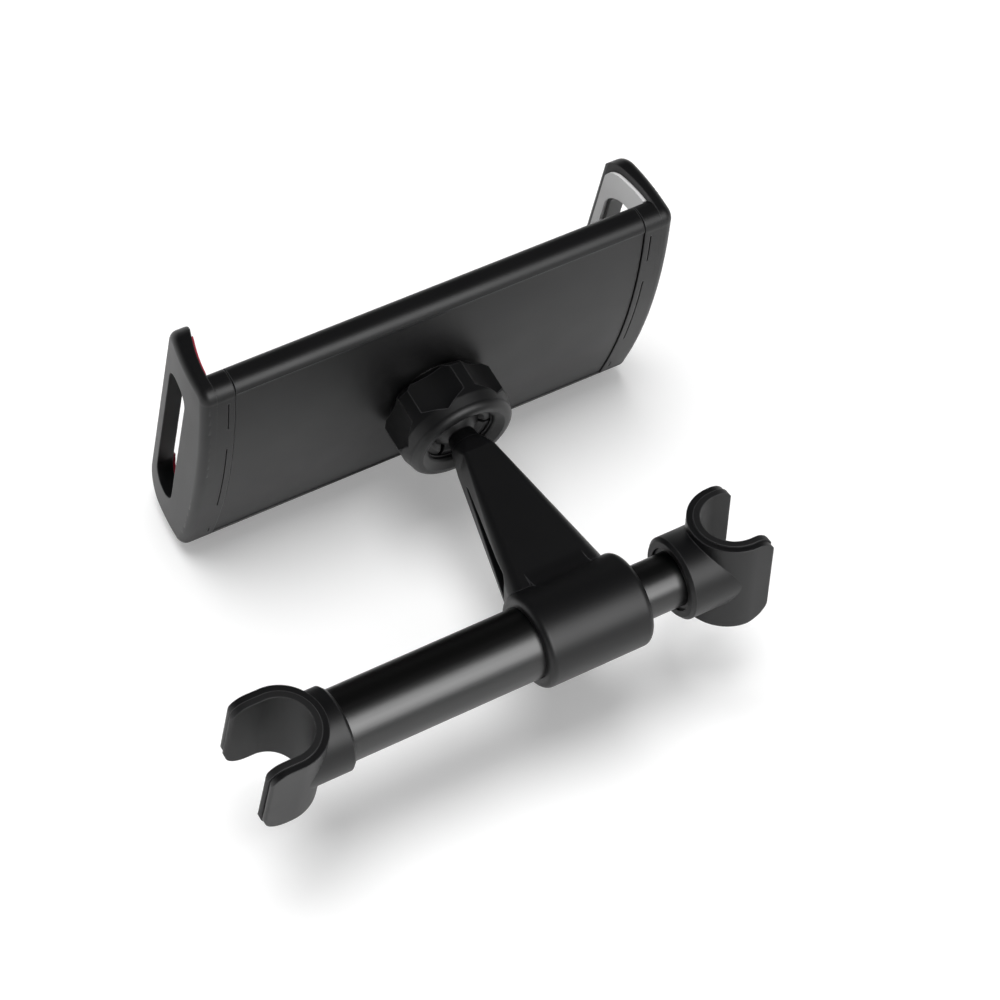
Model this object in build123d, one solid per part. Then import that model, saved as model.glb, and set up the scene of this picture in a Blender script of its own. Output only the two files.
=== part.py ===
from build123d import *
import os
from math import acos, asin, cos, radians, sin, sqrt, tan

# Headrest tablet mount. Millimetres.
# X runs along the bar, from the fixed post hook to the sliding one.
# Y runs from the bar to the tablet holder, Z runs up along the headrest posts.
# The origin is the axis of the fixed hook's post, at the height of the bar's axis.

# Bar
outer_tube_d = 19.0
outer_tube_wall = 1.2
inner_tube_d = 14.6
inner_tube_wall = 1.1
post_spacing = 131.0
slide_travel = 40.0
tube_fit = 0.05
slide_fit = 0.15

# Post hooks
post_d = 16.4
liner_wall = 1.8
shell_wall = 1.7
hook_top = 13.4
hook_bottom = -14.8
fixed_hook_reach = 8.3
sliding_hook_reach = 5.4
liner_lip = 0.3
lip_corner_r = 7.0
rim_corner_r = 4.6
collar_d = 22.4
fixed_collar_length = 16.6
sliding_collar_length = 17.8
collar_chamfer = 0.9
liner_proud = 0.3
collar_recess = 0.7
hook_bush_d = 17.0
sliding_hook_turn = 13.75

# Arm bracket
arm_x = 85.9
sleeve_d = 25.2
sleeve_length = 30.4
sleeve_rim_r = 1.8
arm_thickness = 12.2
arm_root_y = 8.0
arm_root_half_width = 14.6
arm_root_edge_r = 4.6
arm_tip_y = 51.5
arm_tip_half_width = 4.5
neck_y = 56.4
arm_tip_edge_r = 1.0
arm_web_r = 8.0
arm_recess_y0 = 14.0
arm_recess_y1 = 45.0
arm_recess_depth = 2.4
arm_recess_end_depth = 0.7
neck_d = 8.8
neck_end_d = 7.0

# Ball joint
ball_d = 16.0
ball_y = 66.8
ball_fit = 0.06
cup_wall = 1.0
cup_half_angle = 62.0
socket_d = 21.6
socket_mouth_depth = 5.0
socket_nose_depth = 6.2
socket_nose_d = 18.2
socket_slot_width = 1.4
socket_slot_count = 6
socket_slot_end = 3.0
collet_slope = 1.6
socket_base_d = 24.6
socket_base_thickness = 2.1
nut_front_depth = 9.2
nut_length = 15.2
nut_funnel_depth = 1.2
nut_funnel_width = 2.4
nut_d = 31.2
nut_front_d = 29.6
nut_mouth_d = 19.2
nut_thread_fit = 0.12
nut_pocket_count = 6
nut_pocket_turn = -20.0
nut_pocket_width = 12.6
nut_pocket_depth = 2.8
nut_pocket_point = 3.2
nut_pocket_start = 3.4
nut_pocket_scoop_r = 14.0

# Tablet holder
seam_half_length = 59.2
jaw_end_length = 9.1
holder_height = 72.0
holder_front_y = 84.5
back_edge_y = 76.7
back_mid_y = 73.6
back_edge_r = 3.6
front_edge_r = 2.6
seam_gap = 0.3
panel_margin = 2.7
panel_depth = 0.35
channel_floor_y = 79.0
front_cover_thickness = 2.2
front_cover_margin = 3.4
cover_fit = 0.2
socket_recess_fit = 0.1
screw_d = 2.6
screw_head_d = 4.6
screw_head_depth = 1.4
cover_screw_end_gap = 9.2
cover_screw_side_gap = 5.1
boss_d = 6.4
socket_screw_r = 7.6

# Jaws
jaw_travel = 40.0
plate_thickness = 3.8
plate_front_y = 100.0
lip_rise = 0.6
cheek_edge_r = 2.4
cheek_curve_y = 82.0
cheek_lean = 2.6
cheek_inner_lean = 4.6
lip_top_r = 5.0
lip_bottom_r = 9.0
window_y0 = 85.4
window_y1 = 94.0
window_height = 49.0
window_r = 3.9
tongue_middle_gap = 9.5
tongue_side_gap = 8.6
tongue_fit = 0.3
tongue_thickness = 2.7
spring_d = 4.4
spring_channel = 5.6
spring_z = 12.0
spring_post_d = 2.6
spring_post_x = 3.4
spring_hook_x = 6.0
rail_thickness = 2.2
pad_thickness = 1.0
pad_margin = 2.0
pad_window_margin = 1.0
groove_offset = 1.9
groove_width = 0.4
groove_depth = 0.5
groove_spans = ((21.5, 31.0), (-14.0, 13.5), (-30.5, -28.0))
front_pad_width = 12.0
front_pad_side_gap = 4.6
front_pad_thickness = 1.2
front_pad_sunk = 0.6
front_pad_end_gap = 21.2

# Values worked out from the ones above
holder_half_length = seam_half_length + jaw_end_length
front_pad_x = seam_half_length - front_pad_end_gap
cover_screw_x = seam_half_length - cover_screw_end_gap
outer_r = outer_tube_d / 2
inner_r = inner_tube_d / 2
bore_r = outer_r - outer_tube_wall
post_r = post_d / 2
liner_r = post_r + liner_wall
shell_r = liner_r + shell_wall
half_height = holder_height / 2
sleeve_x0 = arm_x - sleeve_length / 2
sleeve_x1 = arm_x + sleeve_length / 2
ball_r = ball_d / 2
socket_r = socket_d / 2
nut_front_y = ball_y - nut_front_depth
nut_back_y = nut_front_y + nut_length
tube_start_x = liner_r + 0.8
outer_tube_end_x = sleeve_x1 - 1.0
inner_tube_end_x = post_spacing - liner_r - 0.8
slide_bush_x0 = 27.0
slide_bush_length = 8.0
guide_bush_length = 12.0


def along_x(radius, x0, x1, y=0.0, z=0.0):
    """A solid cylinder that runs along X."""
    body = Cylinder(radius, x1 - x0, rotation=(0, 90, 0))
    return Pos((x0 + x1) / 2, y, z) * body


def along_y(radius, y0, y1, x=0.0, z=0.0):
    """A solid cylinder that runs along Y."""
    body = Cylinder(radius, y1 - y0, rotation=(90, 0, 0))
    return Pos(x, (y0 + y1) / 2, z) * body


def block(x0, x1, y0, y1, z0, z1):
    """A solid box between two corners."""
    centre = ((x0 + x1) / 2, (y0 + y1) / 2, (z0 + z1) / 2)
    return Pos(*centre) * Box(x1 - x0, y1 - y0, z1 - z0)


def tube(radius, bore, x0, x1):
    """A round tube along X."""
    return along_x(radius, x0, x1) - along_x(bore, x0 - 1, x1 + 1)


def corner_points(before, corner, after, radius):
    """Start, middle and end of the arc that rounds one corner of an outline."""
    ux, uy = before[0] - corner[0], before[1] - corner[1]
    vx, vy = after[0] - corner[0], after[1] - corner[1]
    u_size, v_size = sqrt(ux * ux + uy * uy), sqrt(vx * vx + vy * vy)
    ux, uy, vx, vy = ux / u_size, uy / u_size, vx / v_size, vy / v_size
    half = acos(max(-1.0, min(1.0, ux * vx + uy * vy))) / 2
    reach = radius / tan(half)
    bx, by = ux + vx, uy + vy
    b_size = sqrt(bx * bx + by * by)
    depth = radius / sin(half) - radius
    start = (corner[0] + ux * reach, corner[1] + uy * reach)
    middle = (corner[0] + bx / b_size * depth, corner[1] + by / b_size * depth)
    end = (corner[0] + vx * reach, corner[1] + vy * reach)
    return start, middle, end


def rounded_face(corners, bow=None):
    """A face from (x, y, radius) corners. The last edge back to the first can be bowed."""
    count = len(corners)
    arcs = []
    for i, (x, y, radius) in enumerate(corners):
        before = corners[i - 1][:2]
        after = corners[(i + 1) % count][:2]
        if radius > 0:
            arcs.append(corner_points(before, (x, y), after, radius))
        else:
            arcs.append(((x, y), None, (x, y)))
    edges = []
    for i, (start, middle, end) in enumerate(arcs):
        if middle:
            edges.append(ThreePointArc(start, middle, end))
        following = arcs[(i + 1) % count][0]
        if i == count - 1 and bow:
            edges.append(ThreePointArc(end, bow, following))
        else:
            edges.append(Line(end, following))
    return make_face(edges)


# Post hooks, drawn with the mouth towards -X and the collar towards +X

def jaw_outline(inner, outer, reach, end_r):
    """The hook's section across the post: a U whose two lips have rounded ends."""
    straight = [
        (0, inner, 0),
        (-reach, inner, end_r),
        (-reach, outer, end_r),
        (0, outer, 0),
    ]
    lip = rounded_face(straight)
    ring = Circle(outer) - Circle(inner)
    half_ring = ring - Pos(-outer, 0) * Rectangle(2 * outer, 4 * outer)
    return half_ring + lip + mirror(lip, Plane.XZ)


def side_trim(reach, top, bottom):
    """The hook seen from the side: nearly square at the rim, well rounded at the lips' lower corner."""
    back = outer_tube_d + shell_r
    corners = [
        (-reach, top, rim_corner_r),
        (back, top, 0),
        (back, bottom, 0),
        (-reach, bottom, lip_corner_r),
    ]
    profile = Plane.XZ * rounded_face(corners)
    return extrude(profile, amount=3 * shell_r, both=True)


def hook_shell(reach, collar_length, collar_bore):
    """The hard jaw with its collar, which the bar's tube end is pushed into."""
    section = jaw_outline(liner_r, shell_r, reach, shell_wall / 2 - 0.05)
    jaw = extrude(Pos(0, 0, hook_bottom) * section, amount=hook_top - hook_bottom)
    jaw = jaw & side_trim(reach, hook_top, hook_bottom)
    collar = along_x(collar_d / 2, 0, collar_length)
    collar = chamfer(collar.edges().sort_by(Axis.X)[-1], collar_chamfer)
    post_space = Pos(0, 0, hook_bottom) * Cylinder(
        liner_r, hook_top - hook_bottom, align=(Align.CENTER, Align.CENTER, Align.MIN)
    )
    collar = collar - post_space
    collar = collar - block(-shell_r, 0, -shell_r, shell_r, hook_bottom, hook_top)
    shell = jaw + collar
    return shell - along_x(collar_bore, tube_start_x, collar_length + 1)


def hook_liner(reach):
    """The soft lining of the jaw, a little proud of the rim and of the lips."""
    section = jaw_outline(post_r, liner_r, reach + liner_lip, liner_wall / 2 - 0.05)
    top = hook_top + liner_proud
    bottom = hook_bottom - liner_proud
    liner = extrude(Pos(0, 0, bottom) * section, amount=top - bottom)
    return liner & side_trim(reach + liner_lip, top, bottom)


def sliding_end(piece):
    """Place a hook piece at the far end of the bar, turned to face away and tipped about the bar."""
    turned = Rot(0, 0, 180) * piece
    tipped = Rot(-sliding_hook_turn, 0, 0) * turned
    return Pos(post_spacing, 0, 0) * tipped


def sliding_hook():
    shell = hook_shell(sliding_hook_reach, sliding_collar_length, hook_bush_d / 2 + tube_fit)
    return sliding_end(shell)


def hook_bush():
    """The reducing bush between the thin tube and the sliding hook's collar."""
    x0 = post_spacing - sliding_collar_length + collar_recess
    bush = along_x(hook_bush_d / 2, x0, inner_tube_end_x)
    return bush - along_x(inner_r + tube_fit, x0 - 1, inner_tube_end_x + 1)


# Bar pieces

def outer_tube():
    return tube(outer_r, bore_r, tube_start_x, outer_tube_end_x)


def inner_tube():
    return tube(inner_r, inner_r - inner_tube_wall, slide_bush_x0, inner_tube_end_x)


def guide_bush():
    """The plain bearing in the mouth of the outer tube, with a flange on the tube's end."""
    x0 = outer_tube_end_x - guide_bush_length
    flange_end = outer_tube_end_x + 0.8
    body = along_x(bore_r, x0, outer_tube_end_x)
    flange = along_x(outer_r, outer_tube_end_x, flange_end)
    return body + flange - along_x(inner_r + tube_fit, x0 - 1, flange_end + 1)


def slide_bush():
    """The ring on the thin tube's inner end, which runs in the outer tube."""
    x1 = slide_bush_x0 + slide_bush_length
    ring = along_x(bore_r - slide_fit, slide_bush_x0 - 1.6, x1)
    ring = ring - along_x(inner_r, slide_bush_x0, x1 + 1)
    return ring - along_x(inner_r - inner_tube_wall - 0.4, slide_bush_x0 - 3, x1)


# Arm bracket

def arm_half_width(y):
    """Half the arm's width at a distance from the bar's axis."""
    share = (y - arm_root_y) / (arm_tip_y - arm_root_y)
    return arm_root_half_width + share * (arm_tip_half_width - arm_root_half_width)


def arm_blade():
    """The tapered arm: well rounded edges at the sleeve, crisp ones at the neck."""
    root = RectangleRounded(2 * arm_root_half_width, arm_thickness, arm_root_edge_r)
    tip = RectangleRounded(2 * arm_tip_half_width, arm_thickness, arm_tip_edge_r)
    sections = [Plane.XZ.offset(-arm_root_y) * root, Plane.XZ.offset(-arm_tip_y) * tip]
    return Pos(arm_x, 0, 0) * loft(sections, ruled=True)


def arm_recess(side):
    """The long pocket in the arm's flank: a sliver at the neck, wide at the sleeve."""
    near, far = arm_recess_y0, arm_recess_y1
    corners = [
        (near, -1.8),
        (near + 2.0, 2.6),
        (near + 4.0, 3.6),
        (far, -0.4),
        (far + 1.5, -1.6),
    ]
    outline = Plane.YZ * make_face(Polyline(*corners, close=True))
    outline = extrude(outline, amount=2 * arm_root_half_width, both=True)
    plan = [
        (side * (arm_half_width(near - 3) - arm_recess_depth), near - 3),
        (side * (arm_half_width(far + 3) - arm_recess_end_depth), far + 3),
        (side * 2 * arm_root_half_width, far + 3),
        (side * 2 * arm_root_half_width, near - 3),
    ]
    plan = extrude(make_face(Polyline(*plan, close=True)), amount=arm_thickness, both=True)
    return Pos(arm_x, 0, 0) * (plan & outline)


def arm_web(side):
    """The smooth run from the sleeve's round back into the arm's flat face."""
    sleeve_r = sleeve_d / 2
    flat_z = arm_thickness / 2
    centre_z = flat_z + arm_web_r
    centre_y = sqrt((sleeve_r + arm_web_r) ** 2 - centre_z ** 2)
    share = sleeve_r / (sleeve_r + arm_web_r)
    on_sleeve = (centre_y * share, centre_z * share)
    on_arm = (centre_y, flat_z)
    mx = on_sleeve[0] + on_arm[0] - 2 * centre_y
    my = on_sleeve[1] + on_arm[1] - 2 * centre_z
    size = sqrt(mx * mx + my * my)
    middle = (centre_y + arm_web_r * mx / size, centre_z + arm_web_r * my / size)
    edges = [
        ThreePointArc(on_sleeve, middle, on_arm),
        Line(on_arm, (centre_y, flat_z - 1)),
        Line((centre_y, flat_z - 1), (on_sleeve[0] - 2, flat_z - 1)),
        Line((on_sleeve[0] - 2, flat_z - 1), (on_sleeve[0] - 2, on_sleeve[1] - 1)),
        Line((on_sleeve[0] - 2, on_sleeve[1] - 1), on_sleeve),
    ]
    half = arm_half_width(centre_y) - arm_root_edge_r
    web = extrude(Plane.YZ * make_face(edges), amount=half, both=True)
    if side < 0:
        web = mirror(web, Plane.XY)
    return Pos(arm_x, 0, 0) * web


def arm_bracket():
    sleeve = along_x(sleeve_d / 2, sleeve_x0, sleeve_x1)
    sleeve = fillet(sleeve.edges(), sleeve_rim_r)
    arm = arm_blade()
    for side in (-1, 1):
        arm = arm - arm_recess(side)
    bracket = sleeve + arm + arm_web(1) + arm_web(-1)
    seat_y = ball_y - sqrt(ball_r ** 2 - (neck_end_d / 2) ** 2) + 0.5
    tip = RectangleRounded(2 * arm_tip_half_width, arm_thickness, arm_tip_edge_r)
    root = RectangleRounded(neck_d, neck_d, neck_d / 2 - 0.4)
    shoulder = [Plane.XZ.offset(-arm_tip_y) * tip, Plane.XZ.offset(-neck_y) * root]
    bracket = bracket + Pos(arm_x, 0, 0) * loft(shoulder, ruled=True)
    neck = [Plane.XZ.offset(-neck_y + 0.5) * Circle(neck_d / 2), Plane.XZ.offset(-seat_y) * Circle(neck_end_d / 2)]
    bracket = bracket + Pos(arm_x, 0, 0) * loft(neck)
    bracket = bracket - Pos(arm_x, ball_y, 0) * Sphere(ball_r + ball_fit)
    return bracket - along_x(outer_r + tube_fit, sleeve_x0 - 1, sleeve_x1 + 1)


# Ball joint pieces, revolved about the Y axis through the ball's centre

def ball():
    return Pos(arm_x, ball_y, 0) * Sphere(ball_r)


def ball_cup():
    """The slippery cup that backs the ball inside its socket."""
    inner = ball_r + ball_fit
    outer = inner + cup_wall
    shell = Sphere(outer) - Sphere(inner)
    keep_y = outer * cos(radians(cup_half_angle))
    shell = shell & block(-20, 20, keep_y, 20, -20, 20)
    return Pos(arm_x, ball_y, 0) * shell


def ball_socket():
    """The slotted collet that grips the ball, on a round base that seats in the back cover."""
    base_end = socket_base_y1 - ball_y
    base_start = base_end - socket_base_thickness
    nose = -socket_nose_depth
    nose_r = socket_nose_d / 2
    cone_start = nose + (socket_r - nose_r) * collet_slope
    cavity_r = ball_r + ball_fit
    cup_r = cavity_r + cup_wall + ball_fit
    shoulder = cup_r * cos(radians(cup_half_angle + 3))
    cup_edge = sqrt(cup_r ** 2 - shoulder ** 2)
    ball_edge = sqrt(cavity_r ** 2 - shoulder ** 2)
    mouth_r = sqrt(cavity_r ** 2 - socket_mouth_depth ** 2)
    cup_middle = radians(45)
    edges = [
        ThreePointArc((0, cup_r), (cup_r * cos(cup_middle), cup_r * sin(cup_middle)), (cup_edge, shoulder)),
        Line((cup_edge, shoulder), (ball_edge, shoulder)),
        ThreePointArc((ball_edge, shoulder), (cavity_r, 0), (mouth_r, -socket_mouth_depth)),
        Line((mouth_r, -socket_mouth_depth), (mouth_r + 1.4, nose)),
        Line((mouth_r + 1.4, nose), (nose_r, nose)),
        Line((nose_r, nose), (socket_r, cone_start)),
        Line((socket_r, cone_start), (socket_r, base_start)),
        Line((socket_r, base_start), (socket_base_d / 2, base_start)),
        Line((socket_base_d / 2, base_start), (socket_base_d / 2, base_end)),
        Line((socket_base_d / 2, base_end), (0, base_end)),
        Line((0, base_end), (0, cup_r)),
    ]
    body = revolve(make_face(edges), Axis.Y)
    slots = socket_slot_count // 2
    for i in range(slots):
        slot = block(-20, 20, nose - 1, socket_slot_end, -socket_slot_width / 2, socket_slot_width / 2)
        body = body - Rot(0, 180 * i / slots, 0) * slot
    return Pos(arm_x, ball_y, 0) * body


def locking_nut():
    """The scalloped nut that closes the collet on the ball."""
    front = nut_front_y - ball_y
    back = nut_back_y - ball_y
    rim = nut_front_d / 2
    full = nut_d / 2
    nose = -socket_nose_depth
    nose_r = socket_nose_d / 2
    thread_r = socket_r + nut_thread_fit
    cone_start = nose + (socket_r - nose_r) * collet_slope
    mouth = nut_mouth_d / 2
    funnel_end = front + nut_funnel_depth
    outer_line = [
        Line((mouth, funnel_end + 0.6), (mouth + 0.4, funnel_end)),
        Line((mouth + 0.4, funnel_end), (mouth + nut_funnel_width, front)),
        Line((mouth + nut_funnel_width, front), (rim - 2.0, front)),
        ThreePointArc((rim - 2.0, front), (rim - 0.59, front + 0.59), (rim, front + 2.0)),
        Line((rim, front + 2.0), (full, front + 4.6)),
        Line((full, front + 4.6), (full, back - 1.4)),
        Line((full, back - 1.4), (full - 1.2, back)),
        Line((full - 1.2, back), (thread_r, back)),
        Line((thread_r, back), (thread_r, cone_start - 0.2)),
        Line((thread_r, cone_start - 0.2), (nose_r + 0.2, nose - 0.3)),
        Line((nose_r + 0.2, nose - 0.3), (mouth, nose - 0.3)),
        Line((mouth, nose - 0.3), (mouth, funnel_end + 0.6)),
    ]
    nut = revolve(make_face(outer_line), Axis.Y)
    half = nut_pocket_width / 2
    start = front + nut_pocket_start
    pocket_corners = [
        (-half, back + 1),
        (-half, start + nut_pocket_point),
        (0, start),
        (half, start + nut_pocket_point),
        (half, back + 1),
    ]
    pocket = extrude(make_face(Polyline(*pocket_corners, close=True)), amount=full + 2)
    scoop_r = nut_pocket_scoop_r
    scoop = Pos(0, 0, full - nut_pocket_depth + scoop_r) * Cylinder(scoop_r, 3 * nut_length, rotation=(90, 0, 0))
    pocket = pocket & scoop
    for i in range(nut_pocket_count):
        nut = nut - Rot(0, nut_pocket_turn + 360 * i / nut_pocket_count, 0) * pocket
    return Pos(arm_x, ball_y, 0) * nut


# Tablet holder

def holder_section():
    """The holder's section across X: a bowed back, rounded edges and a flat front."""
    top = half_height
    corners = [
        (back_edge_y, top, back_edge_r),
        (holder_front_y, top, front_edge_r),
        (holder_front_y, -top, front_edge_r),
        (back_edge_y, -top, back_edge_r),
    ]
    return Plane.YZ * rounded_face(corners, bow=(back_mid_y, 0))


def holder_block(x0, x1):
    return Pos(arm_x + x0, 0, 0) * extrude(holder_section(), amount=x1 - x0)


front_cover_y0 = holder_front_y - front_cover_thickness
cover_half_height = half_height - front_cover_margin
panel_half_height = holder_height / 2 - panel_margin
cover_screw_z = cover_half_height - cover_screw_side_gap
tongue_height = 2 * (cover_half_height - tongue_side_gap)
front_pad_height = 2 * (cover_half_height - front_pad_side_gap)
socket_base_y1 = back_mid_y + socket_base_thickness + 1.4


def screw_places():
    for sx in (-1, 1):
        for sz in (-1, 1):
            yield sx * cover_screw_x, sz * cover_screw_z


def back_cover():
    """The bowed back shell with the jaws' channel, screw bosses and the socket's seat."""
    length = seam_half_length
    shell = holder_block(-length, length)
    panel = shell & block(0, 2 * arm_x, 0, holder_front_y, -panel_half_height, panel_half_height)
    shell = shell - (panel - Pos(0, panel_depth, 0) * shell)
    shell = shell - block(
        arm_x - length - 1, arm_x + length + 1,
        channel_floor_y, holder_front_y + 1,
        -cover_half_height, cover_half_height,
    )
    for side in (-1, 1):
        rail_z = side * (tongue_height / 2 + tongue_fit + rail_thickness / 2)
        shell = shell + block(
            arm_x - length, arm_x + length,
            channel_floor_y - 0.5, front_cover_y0,
            rail_z - rail_thickness / 2, rail_z + rail_thickness / 2,
        )
        post_x = arm_x + side * spring_post_x
        shell = shell + along_y(spring_post_d / 2, channel_floor_y - 0.5, front_cover_y0, post_x, spring_z)
    for dx, z in screw_places():
        shell = shell + along_y(boss_d / 2, channel_floor_y - 0.5, front_cover_y0, arm_x + dx, z)
    for dx, z in screw_places():
        shell = shell - along_y(screw_d / 2, channel_floor_y - 0.8, front_cover_y0 + 1, arm_x + dx, z)
    seat_r = socket_base_d / 2 + socket_recess_fit
    shell = shell - along_y(seat_r, back_mid_y - 2, socket_base_y1, arm_x, 0)
    for dx, z in socket_screw_places():
        shell = shell - along_y(screw_d / 2, socket_base_y1 - 1, channel_floor_y + 1, arm_x + dx, z)
    return shell


def socket_screw_places():
    for i in range(4):
        angle = radians(45 + 90 * i)
        yield socket_screw_r * cos(angle), socket_screw_r * sin(angle)


def front_cover():
    """The flat front plate, let into the back shell."""
    plate = block(
        arm_x - seam_half_length, arm_x + seam_half_length,
        front_cover_y0, holder_front_y,
        -cover_half_height + cover_fit, cover_half_height - cover_fit,
    )
    for dx, z in screw_places():
        plate = plate - along_y(screw_d / 2, front_cover_y0 - 1, holder_front_y + 1, arm_x + dx, z)
        head_y = holder_front_y - screw_head_depth
        plate = plate - along_y(screw_head_d / 2 + 0.2, head_y, holder_front_y + 1, arm_x + dx, z)
    for side in (-1, 1):
        plate = plate - front_pad_space(side)
    return plate


def front_pad_space(side):
    x = arm_x + side * front_pad_x
    pad = Box(front_pad_width, front_pad_thickness, front_pad_height)
    pad = fillet(pad.edges().filter_by(Axis.Y), 3.0)
    y = holder_front_y - front_pad_sunk + front_pad_thickness / 2
    return Pos(x, y, 0) * pad


def cover_screws():
    """Four countersunk screws that close the holder."""
    screws = []
    for dx, z in screw_places():
        head_y = holder_front_y - screw_head_depth
        head = along_y(screw_head_d / 2, head_y, holder_front_y - 0.3, arm_x + dx, z)
        shank = along_y(screw_d / 2 - 0.05, channel_floor_y, head_y, arm_x + dx, z)
        cross = block(-1.3, 1.3, -0.8, 0.4, -0.3, 0.3) + block(-0.3, 0.3, -0.8, 0.4, -1.3, 1.3)
        cross = Pos(arm_x + dx, holder_front_y - 0.3, z) * cross
        screws.append(head + shank - cross)
    return Compound(children=screws)


def socket_screws():
    """Four screws from inside the holder into the socket's base."""
    screws = []
    for dx, z in socket_screw_places():
        head = along_y(screw_head_d / 2 - 0.4, channel_floor_y, channel_floor_y + 1.2, arm_x + dx, z)
        shank = along_y(screw_d / 2 - 0.1, socket_base_y1, channel_floor_y, arm_x + dx, z)
        screws.append(head + shank)
    return Compound(children=screws)


def cheek_section():
    """The jaw's cheek seen along the bar, from the holder's back to its front lip."""
    top = half_height
    corners = [
        (back_edge_y, top, back_edge_r),
        (plate_front_y, top + lip_rise, lip_top_r),
        (plate_front_y, -top, lip_bottom_r),
        (back_edge_y, -top, back_edge_r),
    ]
    return Plane.YZ * rounded_face(corners, bow=(back_mid_y, 0))


def jaw_window(grow):
    """The slot through the jaw's cheek."""
    centre_y = (window_y0 + window_y1) / 2
    slot = Box(holder_height / 2, window_y1 - window_y0 + 2 * grow, window_height + 2 * grow)
    slot = fillet(slot.edges().filter_by(Axis.X), window_r + grow)
    return Pos(holder_half_length, centre_y, 0) * slot


def leaning_arc(x, lean):
    """Middle and end of the arc that leaves the plane at x square and leans in towards the tablet."""
    length = plate_front_y + 1 - cheek_curve_y
    radius = (length ** 2 + lean ** 2) / (2 * lean)
    half_turn = asin(length / radius) / 2
    middle = (x - radius * (1 - cos(half_turn)), cheek_curve_y + radius * sin(half_turn))
    return middle, (x - lean, plate_front_y + 1)


def cheek_plan(start, thickness, lean, inner_lean):
    """The cheek from above: straight beside the holder, then curved in towards the tablet."""
    x0 = holder_half_length - start
    x1 = x0 - thickness
    y0 = back_mid_y - 1
    y1 = cheek_curve_y
    outer_middle, outer_end = leaning_arc(x0, lean)
    inner_middle, inner_end = leaning_arc(x1, inner_lean)
    edges = [
        Line((x0, y0), (x0, y1)),
        ThreePointArc((x0, y1), outer_middle, outer_end),
        Line(outer_end, inner_end),
        ThreePointArc(inner_end, inner_middle, (x1, y1)),
        Line((x1, y1), (x1, y0)),
        Line((x1, y0), (x0, y0)),
    ]
    return extrude(make_face(edges), amount=holder_height, both=True)


def on_outer_face(edge):
    """True for an edge that runs along the cheek's outer face."""
    length = plate_front_y + 1 - cheek_curve_y
    radius = (length ** 2 + cheek_lean ** 2) / (2 * cheek_lean)
    for share in (0.1, 0.5, 0.9):
        point = edge.position_at(share)
        run = max(0.0, point.Y - cheek_curve_y)
        face_x = holder_half_length - radius + sqrt(radius ** 2 - run ** 2)
        if abs(face_x - point.X) > 0.02:
            return False
    return edge.length > 0.01


def cheek():
    """The upright plate at the jaw's end, with softened outer edges."""
    section = extrude(Pos(seam_half_length, 0, 0) * cheek_section(), amount=holder_height / 2)
    plate = section & cheek_plan(0, plate_thickness, cheek_lean, cheek_inner_lean)
    return fillet(plate.edges().filter_by(on_outer_face), cheek_edge_r)


def end_band(x0, x1):
    return Pos(x0, 0, 0) * extrude(holder_section(), amount=x1 - x0)


def band_grooves(body):
    """The short grooves beside the seam, cut to an even depth in the bowed back."""
    x0 = seam_half_length + groove_offset
    cutters = None
    for z0, z1 in groove_spans:
        zone = block(x0, x0 + groove_width, back_mid_y - 2, back_edge_y + 2, z0, z1)
        cutters = zone if cutters is None else cutters + zone
    return body - ((body & cutters) - Pos(0, groove_depth, 0) * body)


def jaw():
    """One jaw drawn for the +X end: cheek, band that carries on the holder's skin, and tongue."""
    outer = holder_half_length
    inner = seam_half_length + seam_gap
    body = cheek() + end_band(inner, outer - cheek_edge_r)
    body = band_grooves(body)
    body = body - jaw_window(0)
    tongue_y0 = channel_floor_y + tongue_fit
    tongue = block(
        tongue_middle_gap, inner + 1,
        tongue_y0, tongue_y0 + tongue_thickness,
        -tongue_height / 2, tongue_height / 2,
    )
    tongue = tongue - block(
        tongue_middle_gap - 1, inner - spring_hook_x,
        tongue_y0 - 1, tongue_y0 + tongue_thickness + 1,
        spring_z - spring_channel / 2, spring_z + spring_channel / 2,
    )
    return body + tongue


def placed_jaw(side, piece):
    """Put a piece drawn for the +X end on its own side of the holder."""
    if side < 0:
        piece = mirror(piece, Plane.YZ)
    return Pos(arm_x, 0, 0) * piece


def jaw_pad():
    """The soft face inside the cheek, with a slightly larger window."""
    top = half_height - pad_margin
    y0 = holder_front_y + 0.3
    y1 = plate_front_y - pad_margin
    corners = [
        (y0, top, 0),
        (y1, top, lip_top_r - pad_margin / 2),
        (y1, -top, lip_bottom_r - pad_margin / 2),
        (y0, -top, 0),
    ]
    face = Plane.YZ * rounded_face(corners)
    pad = extrude(Pos(seam_half_length, 0, 0) * face, amount=holder_height / 2)
    pad = pad & cheek_plan(plate_thickness, pad_thickness, cheek_inner_lean, cheek_inner_lean)
    return pad - jaw_window(pad_window_margin)


def jaw_spring():
    """The spring that draws the jaw in, as the plain space its coil fills."""
    x0 = spring_post_x + spring_post_d / 2
    x1 = seam_half_length + seam_gap - spring_hook_x
    y = channel_floor_y + tongue_fit + tongue_thickness / 2
    return along_x(spring_d / 2 - 0.6, x0 + 0.2, x1, y, spring_z)


def bar_spring():
    """The push spring inside the bar, as the plain space its coil fills."""
    return along_x(bore_r - 2.2, tube_start_x, slide_bush_x0 - 1.8)


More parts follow.
